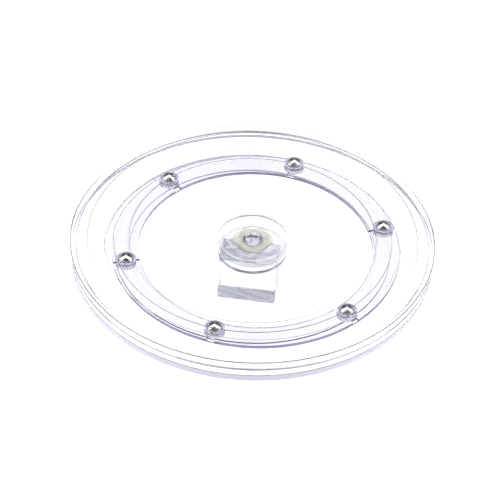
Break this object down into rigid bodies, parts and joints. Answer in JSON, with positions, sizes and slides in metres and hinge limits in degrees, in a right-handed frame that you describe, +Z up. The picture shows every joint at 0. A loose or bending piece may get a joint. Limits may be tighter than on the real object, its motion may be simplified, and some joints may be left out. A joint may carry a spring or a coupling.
{
  "type": "turntable display stand",
  "caption": "Clear turntable display stand: a round top plate turns on a ring of caged steel balls over a fixed round plate, on a rectangular pedestal block.",
  "frame": {"origin": "on the spin axis, in the plane that the pedestal block stands on", "axes": "+Z up along the spin axis; +Y towards the back, +X to the right as the stand is seen from the front"},
  "size_m": [0.2032, 0.2032, 0.0433],
  "materials": {
    "clear_plate": "polished clear",
    "clear_cage": "moulded clear",
    "clear_block": "polished clear, sawn underside",
    "clear_stud": "turned clear",
    "cream_nylon": "translucent moulded",
    "natural_nylon": "translucent moulded",
    "polished_steel": "mirror polished"
  },
  "bodies": {
    "base": {"pedestal_block": "clear_block", "bottom_plate": "clear_plate", "pivot_stud": "clear_stud", "lobed_nut": "cream_nylon"},
    "turning_top": {"top_plate": "clear_plate", "hub_cup": "clear_plate", "pivot_bush": "natural_nylon"},
    "cage": {"ball_cage": "clear_cage"},
    "ball_1": {"ball_1": "polished_steel"},
    "ball_2": {"ball_2": "polished_steel"},
    "ball_3": {"ball_3": "polished_steel"},
    "ball_4": {"ball_4": "polished_steel"},
    "ball_5": {"ball_5": "polished_steel"},
    "ball_6": {"ball_6": "polished_steel"}
  },
  "joints": [
    {"name": "top_plate_spin", "type": "hinge", "parent": "base", "child": "turning_top", "pos_m": [0, 0, 0.0348], "axis": [0, 0, 1], "continuous": true},
    {"name": "cage_orbit", "type": "hinge", "parent": "base", "child": "cage", "pos_m": [0, 0, 0.0326], "axis": [0, 0, 1], "continuous": true},
    {"name": "ball_1_roll", "type": "hinge", "parent": "cage", "child": "ball_1", "pos_m": [0.07319, 0.01747, 0.03595], "axis": [0.9727, 0.2322, 0], "continuous": true},
    {"name": "ball_2_roll", "type": "hinge", "parent": "cage", "child": "ball_2", "pos_m": [0.02237, 0.07056, 0.03595], "axis": [0.3022, 0.9533, 0], "continuous": true},
    {"name": "ball_3_roll", "type": "hinge", "parent": "cage", "child": "ball_3", "pos_m": [-0.04903, 0.05309, 0.03595], "axis": [-0.6784, 0.7347, 0], "continuous": true},
    {"name": "ball_4_roll", "type": "hinge", "parent": "cage", "child": "ball_4", "pos_m": [-0.06959, -0.01747, 0.03595], "axis": [-0.9699, -0.2435, 0], "continuous": true},
    {"name": "ball_5_roll", "type": "hinge", "parent": "cage", "child": "ball_5", "pos_m": [-0.01877, -0.07056, 0.03595], "axis": [-0.257, -0.9664, 0], "continuous": true},
    {"name": "ball_6_roll", "type": "hinge", "parent": "cage", "child": "ball_6", "pos_m": [0.05263, -0.05309, 0.03595], "axis": [0.704, -0.7102, 0], "continuous": true}
  ],
  "couplings": [
    {"joint": "cage_orbit", "follows": "top_plate_spin", "ratio": 0.5},
    {"joint": "ball_1_roll", "follows": "top_plate_spin", "ratio": -8.3611},
    {"joint": "ball_2_roll", "follows": "top_plate_spin", "ratio": -8.2249},
    {"joint": "ball_3_roll", "follows": "top_plate_spin", "ratio": -8.0297},
    {"joint": "ball_4_roll", "follows": "top_plate_spin", "ratio": -7.9725},
    {"joint": "ball_5_roll", "follows": "top_plate_spin", "ratio": -8.113},
    {"joint": "ball_6_roll", "follows": "top_plate_spin", "ratio": -8.3062}
  ]
}
